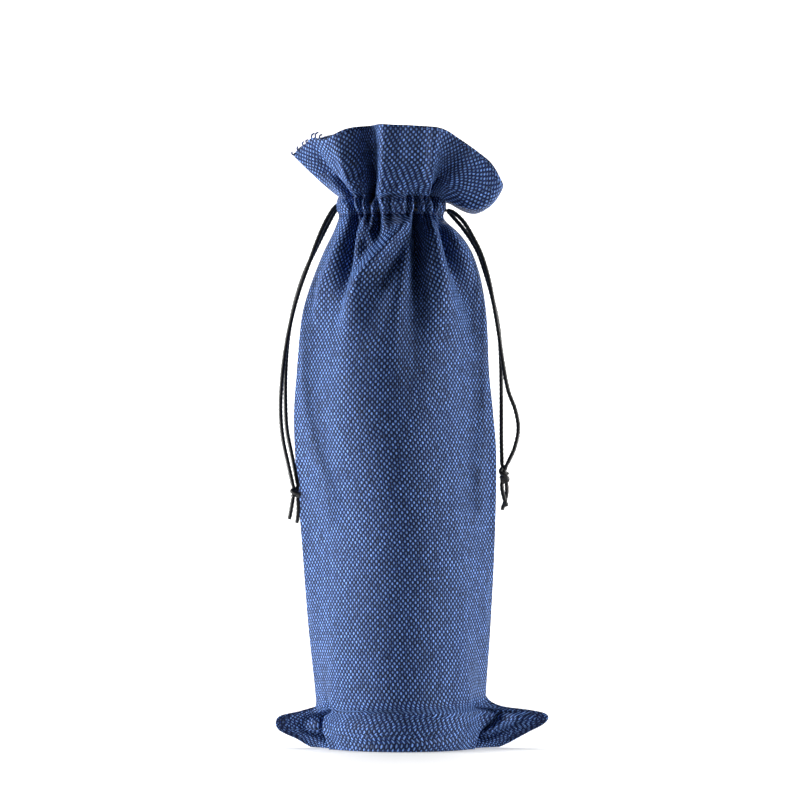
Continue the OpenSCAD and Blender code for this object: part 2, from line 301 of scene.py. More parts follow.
# The left and right edge and half the depth at each height, in millimetres: (z, left, right, depth).
profile = [(0, -39.5, 41, 37), (12, -40.4, 41.6, 37.4), (28, -41.4, 42, 37.8), (60, -44.8, 44.2, 38.2),
           (100, -47.9, 46.2, 38.4), (140, -51, 47, 38.6), (163, -51.7, 45.4, 38.6), (182, -50.4, 43.5, 38),
           (200, -49, 42.8, 37.2), (212, -47.4, 42, 35.6), (222, -44.6, 40.6, 34), (232, -41, 38.4, 31),
           (242, -36.8, 34.6, 27.4), (250, -32.8, 29, 24), (256, -30.4, 22.4, 21), (259, -29.8, 21.2, 20),
           (268, -30, 21.4, 20)]
# How far the corner ears stand out of the base: (z, left, right).
ears = [(0, 4, 7.4), (2, 7.4, 11.8), (4, 10.6, 15.4), (6, 15, 19), (8, 18.6, 22.6), (10, 20, 26.6),
        (12, 20.2, 29.4), (14, 19.4, 30.6), (15.6, 17, 30.2), (17, 11, 27.6), (18.4, 3.6, 20),
        (19.8, 0.6, 9), (22, 0, 3), (25, 0, 0)]
ear_sharpness = 34
bottle_touch = 0.985


def rounded(table, z, column):
    """A smooth curve through one column of a table of heights and sizes."""
    line = smooth_line([(row[0] * MM, row[column] * MM, 0) for row in table], 0.0005)
    return np.interp(z, line[:, 0], line[:, 1])


def ease(x, low, high):
    """0 below low and 1 above high, with a smooth rise between."""
    t = np.clip((x - low) / (high - low), 0, 1)
    return t * t * (3 - 2 * t)


def signed_power(v, p):
    """A power that keeps the sign."""
    return np.sign(v) * np.abs(v) ** p


def body_outline(z, a):
    """Points of the plain outline at heights z and angles a in radians, front half for a below 0. The
    cloth lies round the bottle, then runs straight off it to the side seams. The neck is plain round,
    and the foot is squarer."""
    left, right, depth = (rounded(profile, z, k) for k in (1, 2, 3))
    power = 2 / (2.2 + 0.8 * np.clip(1 - z / 0.06, 0, 1))
    c, s = np.cos(a), np.sin(a)
    half = (right - left) / 2
    off = half * np.abs(signed_power(c, power))
    touch = depth * np.minimum(depth / half, bottle_touch)
    on_bottle = np.sqrt(np.maximum(depth ** 2 - np.minimum(off, touch) ** 2, 0))
    straight = on_bottle * np.where(off > touch, (half - off) / (half - touch), 1)
    straightness = 1 - ease(z, 0.2, 0.25)
    y = depth * np.abs(signed_power(s, power)) * (1 - straightness) + straight * straightness
    x = ((left + right) / 2 + half * signed_power(c, power)
         + rounded(ears, z, 2) * np.clip(c, 0, 1) ** ear_sharpness
         - rounded(ears, z, 1) * np.clip(-c, 0, 1) ** ear_sharpness)
    return x, y * np.sign(s)


def spread_angles(z, share):
    """The angles at which a share of each outline's half length is reached, from left to right."""
    fine = np.linspace(math.pi, 0, 241)
    x, y = body_outline(z[:, :1] + 0 * fine[None, :], -fine[None, :] + 0 * z[:, :1])
    length = np.cumsum(np.hypot(np.diff(x, axis=1), np.diff(y, axis=1)), axis=1)
    length = np.hstack([np.zeros((len(z), 1)), length])
    return np.array([np.interp(row, at / at[-1], fine) for row, at in zip(share, length)])


# A fold's line, from end to end: (height, x, depth, half width), all in millimetres. A valley has a
# positive depth and a ridge a negative one.
shoulder_folds = [
    [(268, -24, 0, 1.5), (262, -23, 2, 1.6), (256, -22.8, 4.6, 2), (243, -25.5, 6, 2.6),
     (228, -28, 4.4, 3.8), (212, -30, 1.3, 5.5), (196, -31, 0, 7)],
    [(266, -10.8, 0, 1.5), (258, -10.9, 2.6, 1.7), (252, -11, 3.6, 2.2), (246, -11.6, 1.8, 3),
     (240, -12, 0, 4)],
    [(268, 8.6, 0, 1.5), (261, 9, 3, 2), (254, 9.3, 8, 2.9), (244, 9.4, 9, 3.7), (232, 9.3, 7.4, 4.5),
     (218, 8.4, 4.8, 6), (200, 6.8, 2.5, 8), (180, 5.4, 1, 9.5), (160, 4, 0, 11)],
    [(266, 19, 0, 1.4), (259, 20, 2.8, 1.8), (251, 23, 6.4, 3.2), (240, 27, 7.6, 4.6), (228, 30.5, 5.6, 6),
     (212, 34.5, 2.1, 8), (196, 36.5, 0, 9)],
    [(262, 4, 0, 3), (255, 2.5, -2.6, 3), (243, -7.5, -4.6, 3.6), (230, -18, -4.2, 4.4),
     (216, -24, -2.6, 6), (198, -26, -1.5, 7.5), (170, -25, -0.9, 9), (130, -24, 0, 10)],
    [(262, 14.6, 0, 2.4), (255, 14.8, -1.8, 2.6), (243, 17, -2.4, 3.6), (228, 21, -1.8, 5),
     (208, 23, -0.8, 7), (190, 24, 0, 8)],
    [(250, -16, 0, 3), (243, -17, 2.4, 3.6), (234, -21.5, 1.6, 3.6), (226, -24, 0, 4)],
    [(254, 4, 0, 3), (243, 1.5, 2.2, 3.4), (230, -5, 2.4, 4.8), (214, -11, 1.6, 7), (196, -13, 0, 8)],
    [(254, -28, 0, 2.4), (240, -31.5, -1.6, 3), (225, -37, -2, 4.4), (205, -41, -1, 6), (185, -43, 0, 7)],
]
gather_folds = [
    [(276, -24.4, 0, 2), (267, -23.6, 2.2, 1.2), (259, -23.2, 1.8, 1.2), (252, -24, 0, 2)],
    [(275, -20.2, 0, 2), (267, -19.4, 2.3, 1.2), (259, -19.2, 2.2, 1.2), (250, -20.4, 0, 2)],
    [(274, -15.6, 0, 2), (267, -15.2, 2.6, 1.3), (259, -15.4, 2.4, 1.2), (251, -15.8, 0, 2)],
    [(270, -11.4, 0, 2), (266, -11.2, 1.6, 1.1), (259, -10.9, 1.6, 1.3), (252, -10.8, 0, 2)],
    [(272, -5.5, 0, 3), (265, -5.2, 0.8, 1.6), (259, -4.6, 1.1, 1.4), (254, -4, 0, 3)],
    [(273, 4.4, 0, 2), (267, 4.2, 1.6, 1.3), (259, 3.4, 1.5, 1.3), (253, 3, 0, 3)],
    [(274, 8.6, 0, 2), (267, 8, 2.2, 1.2), (259, 8.6, 2, 1.3), (252, 9.2, 0, 2)],
    [(275, 13.9, 0, 2), (267, 12.6, 1.9, 1.1), (259, 13.2, 2, 1.1), (251, 14, 0, 2)],
    [(275, 18.8, 0, 2), (267, 17, 2.4, 1.2), (259, 16.9, 2.2, 1.1), (251, 18, 0, 2)],
]
ruffle_folds = [
    [(264, -25, 0, 2), (268, -26, 4, 2.2), (276, -31, 6, 3), (284, -37, 4, 4), (298, -42, 0, 5)],
    [(264, -20, 0, 2), (268, -21, -1.6, 1.8), (277, -24.5, -3, 2.6), (287, -27, -2.8, 3.6),
     (300, -31, -1.4, 5)],
    [(263, -14.4, 0, 1.8), (268, -14.6, 6, 2.4), (276, -15, 10, 3.6), (290, -16, 10, 4.8),
     (306, -17, 6.5, 5.4)],
    [(264, -9.4, 0, 2), (270, -9, -1.4, 2.2), (288, -8.8, -1.8, 3), (306, -8.2, -1, 4)],
    [(276, -1, 0, 3), (290, -1, 0.8, 4), (306, -1, 1.4, 5)],
    [(264, 13, 0, 2), (270, 13.4, -2, 2), (288, 16, -3, 3), (306, 17, -1.6, 4)],
    [(262, 17, 0, 1.6), (268, 17.4, 6, 2.2), (276, 20, 8.5, 3.4), (284, 22.6, 7, 4.6), (293, 27, 4, 6),
     (303, 31, 2, 8)],
]
# How much harder than in the tables the cloth is drawn in: by the cords in the channel, and everywhere.
gather_draw, fold_draw = 1.35, 1.2
drawn_gathers = [[(z, x, gather_draw * deep, wide) for z, x, deep, wide in fold] for fold in gather_folds]
all_folds = shoulder_folds + drawn_gathers + ruffle_folds
stitch_low, stitch_high = casing_z + 0.001, casing_top - 0.001
stitch_pull, stitch_dip = 0.0008, 0.0013
neck_x = -0.0042


def bump_at(x, centre, width):
    """A round bump of height 1."""
    return np.exp(-((x - centre) / width) ** 2)


def fold_depth(folds, x, z, slant):
    """How far the folds and the two rows of stitches draw the cloth in at each point, slant being how
    much of its way runs along x."""
    depth = np.zeros_like(x)
    for fold in folds:
        line = np.array(sorted(fold)) * MM
        at, deep, wide = (np.interp(z, line[:, 0], line[:, k]) for k in (1, 2, 3))
        depth += deep * np.exp(-(np.abs(x - at) / (slant * wide)) ** 1.8)
    waist = bump_at(z, stitch_low, stitch_dip) + bump_at(z, stitch_high, stitch_dip)
    return fold_draw * depth + stitch_pull * waist


def folds_of(side):
    """The folds of the front, or the same mirrored for the back."""
    if side < 0:
        return all_folds
    return [[(z, 2 * neck_x / MM - x, deep, wide) for z, x, deep, wide in fold] for fold in all_folds]


def normals_in_plan(x, y):
    """Outward normals of each row's outline seen from above, for rows that run left to right in front,
    and how much of its way each outline runs along x."""
    dx, dy = np.gradient(x, axis=1), np.gradient(y, axis=1)
    size = np.hypot(dx, dy) + 1e-12
    return dy / size, -dx / size, np.abs(dx) / size


# Shares of a panel's cut, from the bottom seam up: its half of the base, and then the ears' height.
base_share, ear_share = 0.1, 0.33
ear_top = 0.030


def panel_points(share, up, side):
    """Places on a panel: share runs across its width, and up is 0 at the bottom seam and 1 at the neck.
    The folds die out at the side seams, and the last value is the height that sets their depth."""
    z = np.interp(up, [0, base_share, ear_share, 1], [0, 0, ear_top, stitch_low])
    x, y = body_outline(z, -spread_angles(z, share))
    nx, ny, slant = normals_in_plan(x, y)
    depth = fold_depth(folds_of(side), x, z, np.clip(slant, 0.45, 1))
    # Loosely filled cloth swells a little. A ridge and a pit part each corner ear from the round foot.
    swell = 0.0008 * np.sin(z * 47 + 6 * share + side) * ease(z, 0.03, 0.08) * (1 - ease(z, 0.19, 0.23))
    ridge = bump_at(share, 0.155, 0.02) + bump_at(share, 0.835, 0.02)
    ridge = 0.0022 * ridge * bump_at(z, 0.004, 0.016)
    pit = bump_at(share, 0.118, 0.028) + bump_at(share, 0.868, 0.032)
    pit = 0.009 * pit * bump_at(z, 0.010, 0.008)
    depth = (depth - swell - ridge + pit) * ease(np.minimum(share, 1 - share), 0, 0.05)
    x, y = x - nx * depth, y - ny * depth
    y = np.where(up < base_share, y * up / base_share, y)
    # On the floor the foot spreads a little in front and behind, and draws in at the sides.
    sole = 0.0011 * bump_at(z, 0, 0.0022) * (up > base_share) * ease(np.abs(y), 0, 0.03)
    return x - nx * sole * 0.6, side * np.abs(y - ny * -sole), z, z


def closest_surface(across, upward):
    """The values on a grid whose steps across and upward come closest to the wanted ones. The wanted
    steps' differences are mirrored at the cut's edges and solved as waves."""
    wanted = np.zeros((across.shape[0], upward.shape[1]))
    wanted[:, :-1] += across
    wanted[:, 1:] -= across
    wanted[:-1] += upward
    wanted[1:] -= upward
    rows, cols = wanted.shape
    mirrored = np.hstack([wanted, wanted[:, ::-1]])
    waves = np.fft.fft2(np.vstack([mirrored, mirrored[::-1]]))
    bend = (2 - 2 * np.cos(math.pi * np.arange(2 * rows) / rows)[:, None]
            + 2 - 2 * np.cos(math.pi * np.arange(2 * cols) / cols)[None, :])
    bend[0, 0] = 1
    waves[0, 0] = 0
    return -np.real(np.fft.ifft2(waves / bend))[:rows, :cols]


least_spare = 0.15


def on_flat(x, y, z, hidden, width, slant_share):
    """The cut's own coordinates in metres. Yarns keep their spacing, and spare width goes into the folds;
    the rows then follow at right angles to the columns, which throws the chevrons beside each fold. The
    grain runs a few degrees off the cut's edges."""
    step = np.sqrt(np.diff(x, axis=1) ** 2 + np.diff(y, axis=1) ** 2 + np.diff(z, axis=1) ** 2)
    length = step.sum(axis=1, keepdims=True)
    spare = np.maximum(width - length, least_spare * length)
    weight = (hidden[:, 1:] + hidden[:, :-1]) / 2 * step
    step = step + spare * weight / weight.sum(axis=1, keepdims=True)
    u = np.hstack([np.zeros((len(x), 1)), np.cumsum(step, axis=1)])
    u = u - u[:, -1:] / 2
    # u's slope on the laid surface, from the steps p_j across the grid and p_i up it.
    p = np.stack([x, y, z], axis=-1)
    p_j, p_i = np.gradient(p, axis=1), np.gradient(p, axis=0)
    u_j, u_i = np.gradient(u, axis=1), np.gradient(u, axis=0)
    jj, ij, ii = (p_j * p_j).sum(-1), (p_j * p_i).sum(-1), (p_i * p_i).sum(-1)
    area2 = np.maximum(jj * ii - ij * ij, 1e-16)
    slope_j, slope_i = (ii * u_j - ij * u_i) / area2, (jj * u_i - ij * u_j) / area2
    slope = np.sqrt(np.maximum(slope_j * u_j + slope_i * u_i, 1e-12))
    # v climbs square to it, within what the cloth can stretch and tilt.
    v_j, v_i = -slope_i * np.sqrt(area2) / slope, slope_j * np.sqrt(area2) / slope
    v_j = slant_share * np.clip(v_j, -0.6 * np.sqrt(jj), 0.6 * np.sqrt(jj))
    v_i = np.clip(v_i, 0.3 * np.sqrt(ii), 1.5 * np.sqrt(ii))
    v = closest_surface((v_j[:, 1:] + v_j[:, :-1]) / 2, (v_i[1:] + v_i[:-1]) / 2)
    v = v - v[0, v.shape[1] // 2]
    return u * math.cos(grain) + v * math.sin(grain), v * math.cos(grain) - u * math.sin(grain)


def cloth(name, columns, rows, slant_share, points, side):
    """A flat cut of cloth, gridded by a bmesh operator, then laid where points says. Its UV map is the
    cloth's own surface in metres: across the cut, and up it from the lower edge. The spare width hides
    in the bottoms of the valleys, and a little everywhere."""
    bm = bmesh.new()
    bmesh.ops.create_grid(bm, x_segments=columns, y_segments=rows, size=0.5)
    piece = into_scene(name, bm)
    mesh = piece.data
    flat = np.zeros(len(mesh.vertices) * 3)
    mesh.vertices.foreach_get("co", flat)
    flat = flat.reshape(-1, 3) + 0.5
    order = np.lexsort((np.round(flat[:, 0], 6), np.round(flat[:, 1], 6)))
    share = flat[order, 0].reshape(rows + 1, columns + 1)
    up = flat[order, 1].reshape(rows + 1, columns + 1)
    x, y, z, fold_z = points(share, up, side)
    hidden = 0.5 + np.clip(fold_depth(folds_of(side), x, fold_z, 0.8), 0, 1) / MM
    made = np.zeros_like(flat)
    made[order] = np.stack([x.ravel(), y.ravel(), z.ravel()], axis=1)
    mesh.vertices.foreach_set("co", made.ravel())
    u, v = on_flat(x, y, z, hidden, flat_w, slant_share)
    cut = np.zeros((len(flat), 2))
    cut[order, 0], cut[order, 1] = u.ravel(), v.ravel()
    uv = mesh.uv_layers.new(name="UVMap")
    corners = np.zeros(len(mesh.loops), int)
    mesh.loops.foreach_get("vertex_index", corners)
    uv.data.foreach_set("uv", cut[corners].ravel())
    mesh.polygons.foreach_set("use_smooth", [True] * len(mesh.polygons))
    mesh.update()
    return piece


def outwards(piece):
    """Turns the faces of an open sheet so that they point away from the bag's upright axis."""
    bm = bmesh.new()
    bm.from_mesh(piece.data)
    out = sum((f.calc_center_median() - Vector((neck_x, 0, f.calc_center_median().z))).dot(f.normal)
              * f.calc_area() for f in bm.faces)
    if out < 0:
        bmesh.ops.reverse_faces(bm, faces=bm.faces[:])
    bm.to_mesh(piece.data)
    bm.free()


def thicken(piece, thickness, offset=-1):
    """Gives a sheet its thickness: inwards, or to both sides alike with an offset of 0."""
    ply = piece.modifiers.new("ply", "SOLIDIFY")
    ply.thickness = thickness
    ply.offset = offset


def weave_group():
    """Plain weave: slubby warp and weft that pass over and under each other, and their colours, with
    painted shade in the gaps between the yarns.
    """
    group = bpy.data.node_groups.new("plain_weave", "ShaderNodeTree")
    face = group.interface
    face.new_socket("Cloth", in_out="INPUT", socket_type="NodeSocketVector")
    for label in ("Warp", "Weft", "Gap Shade"):
        face.new_socket(label, in_out="INPUT", socket_type="NodeSocketColor")
    face.new_socket("Color", in_out="OUTPUT", socket_type="NodeSocketColor")
    face.new_socket("Height", in_out="OUTPUT", socket_type="NodeSocketFloat")
    face.new_socket("Roughness", in_out="OUTPUT", socket_type="NodeSocketFloat")
    add, link = group.nodes.new, group.links.new
    enter, leave = add("NodeGroupInput"), add("NodeGroupOutput")

    def math_node(kind, a, b=None, c=None, clamp=False):
        """A Math node's output, from numbers and other outputs."""
        node = add("ShaderNodeMath")
        node.operation = kind
        node.use_clamp = clamp
        for socket, value in zip(node.inputs, (a, b, c)):
            if value is None:
                continue
            if isinstance(value, (int, float)):
                socket.default_value = value
            else:
                link(value, socket)
        return node.outputs[0]

    wobble = add("ShaderNodeTexNoise")
    wobble.inputs["Scale"].default_value = 55
    wobble.inputs["Detail"].default_value = 2
    link(enter.outputs["Cloth"], wobble.inputs["Vector"])
    sway = add("ShaderNodeVectorMath")
    sway.operation = "MULTIPLY_ADD"
    link(wobble.outputs["Color"], sway.inputs[0])
    sway.inputs[1].default_value = (0.0022, 0.0022, 0)
    link(enter.outputs["Cloth"], sway.inputs[2])
    parts = add("ShaderNodeSeparateXYZ")
    link(sway.outputs["Vector"], parts.inputs["Vector"])
    u = math_node("MULTIPLY", parts.outputs["X"], 1 / yarn)
    v = math_node("MULTIPLY", parts.outputs["Y"], 1 / yarn)
    column, row = math_node("FLOOR", u), math_node("FLOOR", v)
    across = math_node("SUBTRACT", math_node("SUBTRACT", u, column), 0.5)
    upward = math_node("SUBTRACT", math_node("SUBTRACT", v, row), 0.5)
    # Each yarn's round back, and its rise and fall as it passes over and under its neighbours.
    roundness, wave_height, crown_share = 3.6, 0.75, 0.571
    warp_side = math_node("MULTIPLY", math_node("MULTIPLY", across, across), roundness)
    weft_side = math_node("MULTIPLY", math_node("MULTIPLY", upward, upward), roundness)
    round_warp, round_weft = math_node("SUBTRACT", 1, warp_side), math_node("SUBTRACT", 1, weft_side)
    odd_column = math_node("MULTIPLY", math_node("PINGPONG", column, 1), -2)
    odd_row = math_node("MULTIPLY", math_node("PINGPONG", row, 1), -2)
    over = math_node("MULTIPLY", math_node("ADD", odd_column, 1), math_node("ADD", odd_row, 1))
    warp_wave = math_node("MULTIPLY", math_node("COSINE", math_node("MULTIPLY", upward, math.pi)), over)
    weft_wave = math_node("MULTIPLY", math_node("COSINE", math_node("MULTIPLY", across, math.pi)), over)
    weft_wave = math_node("MULTIPLY", weft_wave, -1)
    warp = math_node("ADD", round_warp, math_node("MULTIPLY", warp_wave, wave_height))
    weft = math_node("ADD", round_weft, math_node("MULTIPLY", weft_wave, wave_height))
    height = math_node("MULTIPLY", math_node("MAXIMUM", warp, weft), crown_share, clamp=True)
    warp_on_top = math_node("GREATER_THAN", warp, weft)

    def yarn_noise(index, along, seed):
        """Slubs: a value that changes slowly along a yarn and jumps from one yarn to the next."""
        join = add("ShaderNodeCombineXYZ")
        link(math_node("MULTIPLY", index, 7.31), join.inputs["X"])
        link(math_node("MULTIPLY", along, 0.16), join.inputs["Y"])
        join.inputs["Z"].default_value = seed
        noise = add("ShaderNodeTexNoise")
        noise.inputs["Scale"].default_value = 1
        noise.inputs["Detail"].default_value = 1
        link(join.outputs["Vector"], noise.inputs["Vector"])
        return noise.outputs["Fac"]

    slub = add("ShaderNodeMix")
    slub.data_type = "FLOAT"
    link(warp_on_top, slub.inputs["Factor"])
    link(yarn_noise(row, u, 3.7), slub.inputs["A"])
    link(yarn_noise(column, v, 11.2), slub.inputs["B"])
    thread = add("ShaderNodeMix")
    thread.data_type = "RGBA"
    link(warp_on_top, thread.inputs["Factor"])
    link(enter.outputs["Weft"], thread.inputs["A"])
    link(enter.outputs["Warp"], thread.inputs["B"])
    cell = add("ShaderNodeCombineXYZ")
    link(column, cell.inputs["X"])
    link(row, cell.inputs["Y"])
    crossing = add("ShaderNodeTexWhiteNoise")
    link(cell.outputs["Vector"], crossing.inputs["Vector"])
    strength = math_node("ADD", math_node("MULTIPLY", slub.outputs["Result"], 1.5),
                         math_node("MULTIPLY", crossing.outputs["Value"], 0.6))
    vary = add("ShaderNodeHueSaturation")
    link(thread.outputs["Result"], vary.inputs["Color"])
    link(strength, vary.inputs["Value"])
    # Painted shade: the gaps between the yarns, and the flanks beside each warp yarn, are darkened towards
    # the gap colour where the weave lies low.
    deep = add("ShaderNodeMapRange")
    deep.inputs["From Min"].default_value = 0.38
    deep.inputs["From Max"].default_value = 0.86
    link(height, deep.inputs["Value"])
    between = math_node("MULTIPLY_ADD", round_warp, 1.5, -0.15, clamp=True)
    shade = add("ShaderNodeMix")
    shade.data_type = "RGBA"
    link(math_node("MULTIPLY", deep.outputs["Result"], between), shade.inputs["Factor"])
    link(enter.outputs["Gap Shade"], shade.inputs["A"])
    link(vary.outputs["Color"], shade.inputs["B"])
    link(shade.outputs["Result"], leave.inputs["Color"])
    link(math_node("ADD", height, math_node("MULTIPLY", slub.outputs["Result"], 0.25)),
         leave.inputs["Height"])
    link(math_node("SUBTRACT", 0.6, math_node("MULTIPLY", height, 0.14)), leave.inputs["Roughness"])
    return group


plain_weave = weave_group()


def cloth_material(name, warp, weft, gap_shade, relief):
    """The weave in its warp and weft colours and the painted shade of its gaps, with its relief as a bump.
    """
    material, tree, surface = shader(name)
    surface.inputs["Specular IOR Level"].default_value = 0.14
    place = tree.nodes.new("ShaderNodeUVMap")
    place.uv_map = "UVMap"
    weave = tree.nodes.new("ShaderNodeGroup")
    weave.node_tree = plain_weave
    weave.inputs["Warp"].default_value = (*warp, 1)
    weave.inputs["Weft"].default_value = (*weft, 1)
    weave.inputs["Gap Shade"].default_value = (*gap_shade, 1)
    bump = tree.nodes.new("ShaderNodeBump")
    bump.inputs["Strength"].default_value = relief
    bump.inputs["Distance"].default_value = 0.0004
    tree.links.new(place.outputs["UV"], weave.inputs["Cloth"])
    tree.links.new(weave.outputs["Color"], surface.inputs["Base Color"])
    tree.links.new(weave.outputs["Roughness"], surface.inputs["Roughness"])
    tree.links.new(weave.outputs["Height"], bump.inputs["Height"])
    tree.links.new(bump.outputs["Normal"], surface.inputs["Normal"])
    return material


# Light warp, navy weft, and a near-black painted shade for the gaps between the yarns.
blue_linen = cloth_material("blue_linen_weave", (0.15, 0.28, 0.65), (0.009, 0.024, 0.11),
                            (0.0005, 0.0013, 0.009), 0.9)

density = 1
cloth_columns, panel_rows = int(150 * density), int(270 * density)
# How much of the columns' slant beside a fold the rows follow.
chevron_share = 0.8
for side, side_name in halves:
    panel = cloth(side_name + "_panel_cloth", cloth_columns, panel_rows, chevron_share, panel_points, side)
    panel.data.materials.append(blue_linen)
    outwards(panel)
    thicken(panel, cloth_t)
    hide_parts(side_name + "_panel")
    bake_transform(panel)

# ---------------------------------------------------------------------------------------------------
# Mouth: the top of each panel is turned in and sewn down in two rows, which leaves a ruffle of two
# plies over a channel for the cords. The channel is drawn up in small gathers round the neck.
# ---------------------------------------------------------------------------------------------------
# The ruffle's rim in front and behind: (share of the width, x, y, z), in millimetres.
ruffle_rim = {
    -1: [(0, -52, -3, 288), (0.05, -46.8, -10, 291.8), (0.1, -42.4, -16, 295.2),
         (0.17, -35.5, -22, 294.4), (0.27, -25.3, -28, 299.2), (0.36, -13.6, -31.5, 301),
         (0.45, -2.9, -34, 300.7), (0.54, 7.8, -34.5, 300.2), (0.64, 20.2, -34, 298.8),
         (0.72, 28.6, -33.4, 294.2), (0.8, 36.8, -32.5, 288.4), (0.87, 44, -30, 282.4),
         (0.93, 48.6, -25, 275), (0.97, 50, -17, 271.4), (1, 46.8, -7, 269.6)],
    1: [(0, -52, 2, 288), (0.08, -48, 14, 293), (0.18, -38, 23, 298), (0.3, -25, 28, 300),
        (0.42, -11, 24, 302), (0.52, 1, 22, 302), (0.62, 12, 27, 301), (0.74, 26, 31, 298),
        (0.86, 40, 25, 289), (0.94, 47, 14, 276), (1, 46.8, 6, 269.6)],
}
rim_step = 0.0008
rim_z = 0.302
# How far the inner ply lies behind the outer one, in the ruffle and in the channel.
ruffle_gap, channel_gap = 0.0016, 0.0058
# Shares of a mouth's cut: the channel's, and on each side of the rim the rolled edge's.
channel_share, roll_share = 0.1, 0.014
mouth_rows = int(180 * density)


def along_rim(side, share):
    """The rim's place at each share of the width, on a smooth line through its listed points."""
    marks = ruffle_rim[side]
    points = [[c * MM for c in p[1:]] for p in marks]
    line = smooth_line(points, rim_step)
    keys = []
    for i in range(len(marks) - 1):
        count = max(2, math.ceil(np.linalg.norm(np.subtract(points[i + 1], points[i])) / rim_step))
        keys += [marks[i][0] + (marks[i + 1][0] - marks[i][0]) * k / count for k in range(count)]
    return [np.interp(share, keys + [1.0], line[:, k]) for k in range(3)]


def mouth_points(share, up, side):
    """Places on the mouth's cloth: up the channel and the ruffle, over the rim, and down inside. The
    last value is the height that sets the folds' depth."""
    inner = up > 0.5
    rise = np.where(inner, 1 - up, up)
    in_channel = np.clip(rise / channel_share, 0, 1)
    climb = np.clip((rise - channel_share) / (0.5 - channel_share), 0, 1)
    level = stitch_low + in_channel * (casing_top - stitch_low)
    nx0, ny0 = body_outline(level, -spread_angles(level * 0 + casing_z, share))
    ny0 = side * np.abs(ny0)
    rx, ry, rz = along_rim(side, share)
    bend = climb ** 0.9
    x, y = nx0 + (rx - nx0) * bend, ny0 + (ry - ny0) * bend
    z = level + (rz - casing_top) * climb
    # The right corner hangs over.
    droop = ease(share, 0.84, 0.95) * np.sin(math.pi * climb)
    x, z = x + 0.003 * droop, z - 0.0085 * droop
    nx, ny, slant = normals_in_plan(x, y * -side)
    ny = ny * -side
    fold_z = level + climb * (rim_z - casing_top)
    depth = fold_depth(folds_of(side), x, fold_z, np.clip(slant, 0.45, 1))
    puff = 0.0013 * np.sin(math.pi * in_channel) * (climb == 0)
    settle = ease(np.minimum(share, 1 - share), 0, 0.05)
    depth = depth * settle - puff
    # The inner ply lies close behind the ruffle and stands off in the channel, flatter than outside.
    stand_off = (1 - ease(climb, 0, 0.14)) * ease(in_channel, 0, 0.35)
    lining = np.where(inner, ruffle_gap + (channel_gap - ruffle_gap) * stand_off, 0)
    lining = lining * ease(np.abs(up - 0.5), 0, roll_share)
    depth = np.where(inner, depth * (1 - 0.6 * stand_off), depth) + lining
    x, y = x - nx * depth, y - ny * depth
    y = np.where(side < 0, np.minimum(y, -0.0003), np.maximum(y, 0.0003))
    roll = cloth_t * (1 - ease(np.abs(up - 0.5), 0, roll_share))
    return x, y, z + roll, fold_z


for side, side_name in halves:
    mouth = cloth(side_name + "_mouth_cloth", cloth_columns, mouth_rows, 0, mouth_points, side)
    mouth.data.materials.append(blue_linen)
    outwards(mouth)
    thicken(mouth, cloth_t)
    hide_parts(side_name + "_casing", side_name + "_ruffle", side_name + "_facing")
    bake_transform(mouth)

# ---------------------------------------------------------------------------------------------------
# Seam allowances, inside the bag: the sewn edges of the two panels down each side and under the base,
# two plies thick, in a darker copy of the linen weave that paints the shade inside the bag.
# ---------------------------------------------------------------------------------------------------
seam_w = 0.004
# A darker copy of the linen's colours: painted shade for the seam allowances inside the bag.
shaded_seam_blue = cloth_material("shaded_seam_linen_weave", (0.08, 0.14, 0.34), (0.008, 0.02, 0.09),
                           (0.0008, 0.002, 0.012), 0.9)


def ribbon(name, edge, other, thickness):
    """A narrow strip of cloth between two lines, as thick as its plies together."""
    bm = bmesh.new()
    bmesh.ops.create_grid(bm, x_segments=2, y_segments=len(edge) - 1, size=0.5)
    uv = bm.loops.layers.uv.new("UVMap")
    length = lengths_along(edge)
    for face in bm.faces:
        for loop in face.loops:
            row = round((loop.vert.co.y + 0.5) * (len(edge) - 1))
            loop[uv].uv = ((loop.vert.co.x + 0.5) * seam_w, length[row])
    for v in bm.verts:
        row, t = round((v.co.y + 0.5) * (len(edge) - 1)), v.co.x + 0.5
        v.co = Vector(edge[row] * (1 - t) + other[row] * t)
    piece = into_scene(name, bm)
    piece.data.materials.append(shaded_seam_blue)
    thicken(piece, thickness, offset=0)
    return piece


for side_name, a, way in (("left", math.pi, 1), ("right", 0.0, -1)):
    z = np.linspace(0.004, casing_z - 0.0008, 80)
    x = body_outline(z, z * 0 + a)[0] + way * 1.6 * cloth_t
    edge = np.stack([x, z * 0, z], axis=1)
    other = edge + [way * seam_w, 0, 0]
    seam = ribbon(side_name + "_seam_strip", edge, other, 2 * cloth_t)
    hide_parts(side_name + "_side_seam")
    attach(seam, "root")
x = np.linspace(-0.0375, 0.0385, 40)
edge = np.stack([x, x * 0 - 0.0015, x * 0 + cloth_t * 2.2], axis=1)
seam = ribbon("bottom_seam_strip", edge, edge + [0, seam_w + 0.0015, 0], 2 * cloth_t)
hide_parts("bottom_seam")
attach(seam, "root")

